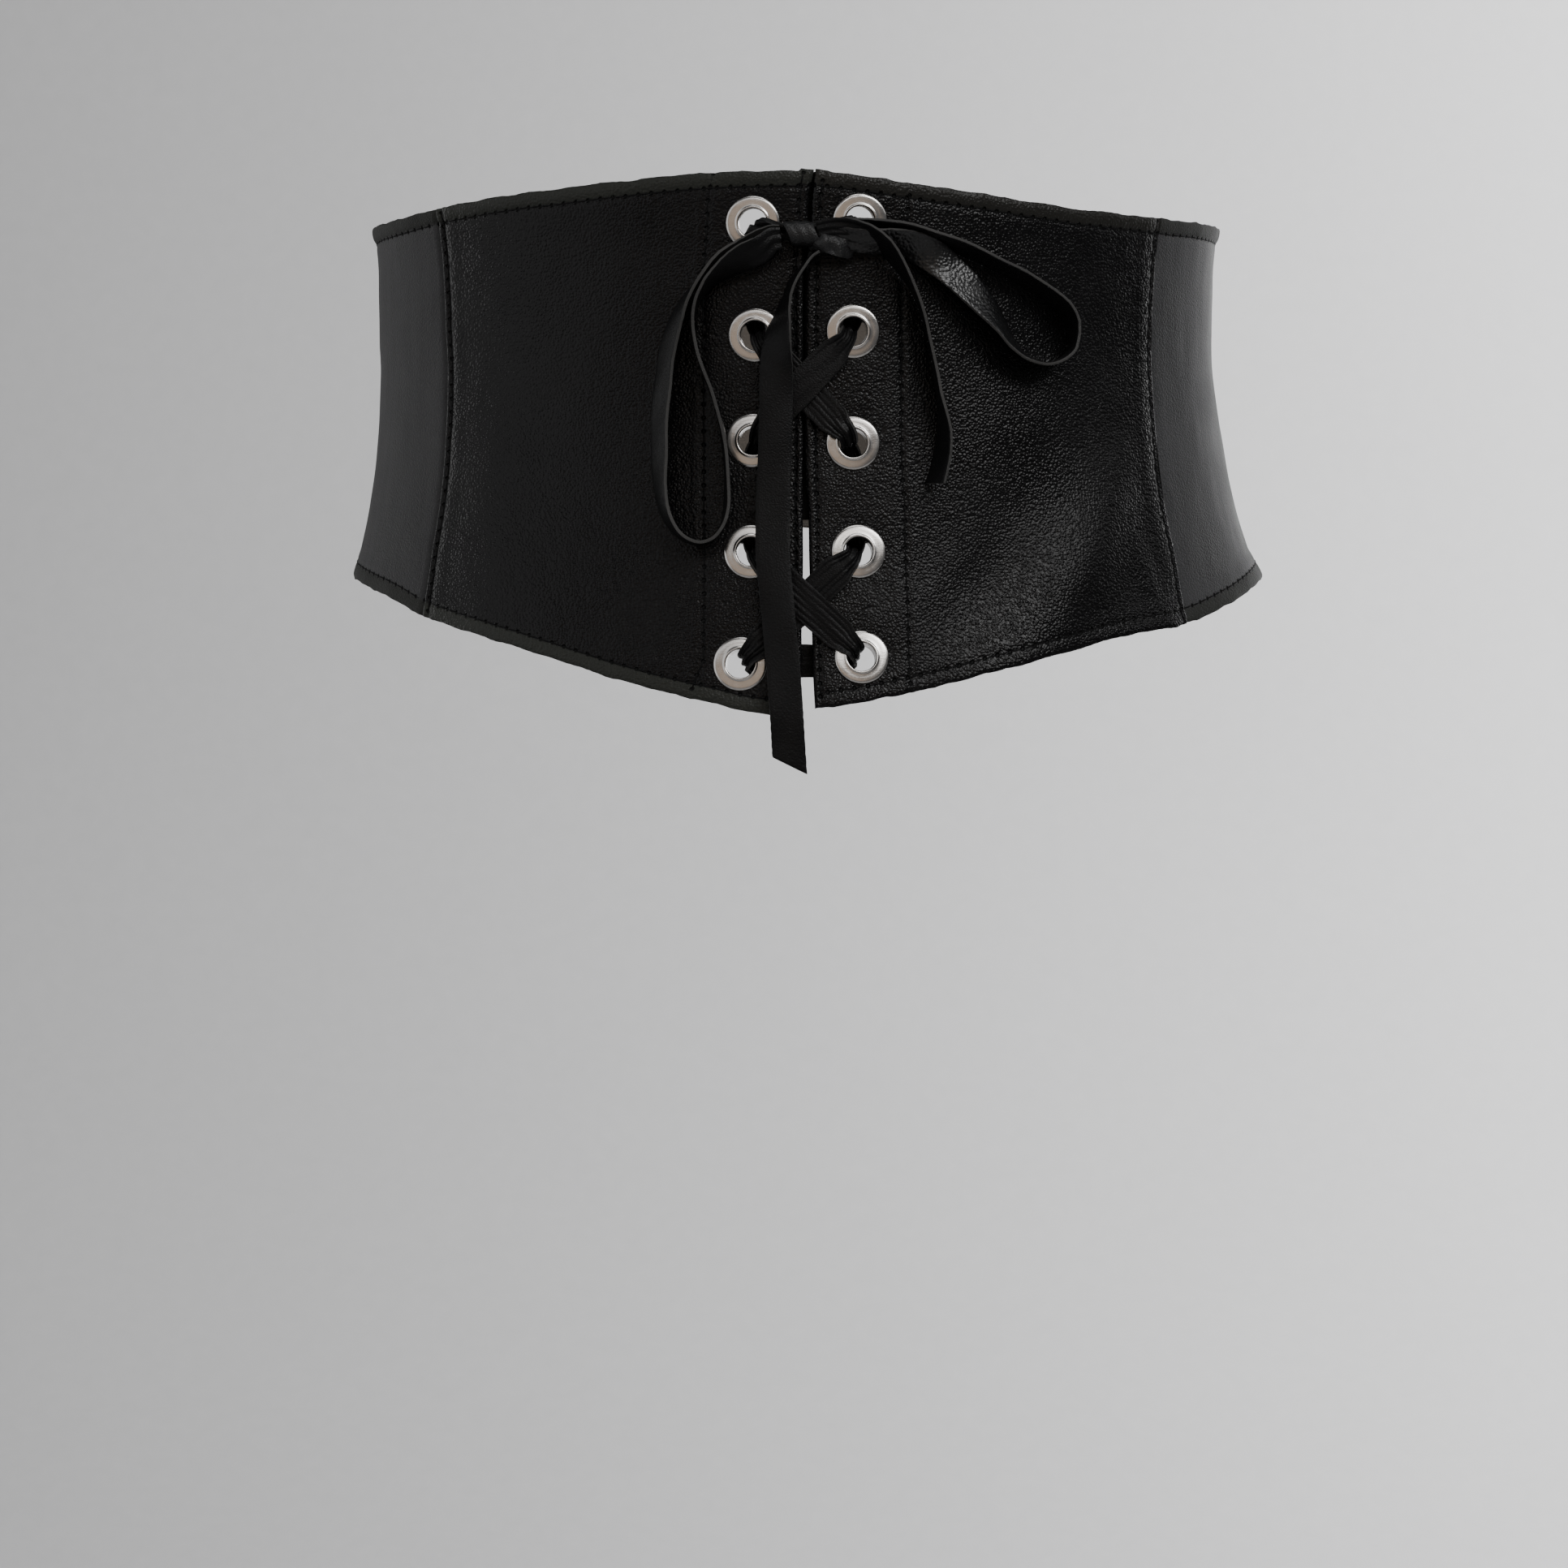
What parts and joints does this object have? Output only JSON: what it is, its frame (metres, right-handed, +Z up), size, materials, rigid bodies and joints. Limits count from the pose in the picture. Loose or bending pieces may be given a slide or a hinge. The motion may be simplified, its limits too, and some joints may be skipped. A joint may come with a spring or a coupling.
{
  "type": "corset belt",
  "caption": "Wide black leather waist belt, pointed above and below in front, closed by a flat lace through metal eyelets and tied in a bow.",
  "frame": {"origin": "middle of the waist that the belt goes round, at the height where it is narrowest", "axes": "+Z up, the laced front faces -Y, and +X is to the right of someone who looks at the front"},
  "size_m": [0.2964, 0.2233, 0.1893],
  "materials": {
    "front_leather": "satin",
    "side_leather": "satin",
    "eyelet_metal": "polished",
    "washer_metal": "satin",
    "lace_leather": "matt"
  },
  "bodies": {
    "root": {"front_panel_left": "front_leather", "front_panel_right": "front_leather", "side_panel_left": "side_leather", "side_panel_right": "side_leather", "eyelet_left_1": "eyelet_metal", "washer_left_1": "washer_metal", "eyelet_left_2": "eyelet_metal", "washer_left_2": "washer_metal", "eyelet_left_3": "eyelet_metal", "washer_left_3": "washer_metal", "eyelet_left_4": "eyelet_metal", "washer_left_4": "washer_metal", "eyelet_left_5": "eyelet_metal", "washer_left_5": "washer_metal", "eyelet_right_1": "eyelet_metal", "washer_right_1": "washer_metal", "eyelet_right_2": "eyelet_metal", "washer_right_2": "washer_metal", "eyelet_right_3": "eyelet_metal", "washer_right_3": "washer_metal", "eyelet_right_4": "eyelet_metal", "washer_right_4": "washer_metal", "eyelet_right_5": "eyelet_metal", "washer_right_5": "washer_metal", "lacing": "lace_leather", "bow_knot": "lace_leather", "bow_loop_left": "lace_leather", "bow_loop_right": "lace_leather", "bow_tail_right": "lace_leather", "bow_tail_centre": "lace_leather"}
  },
  "joints": []
}
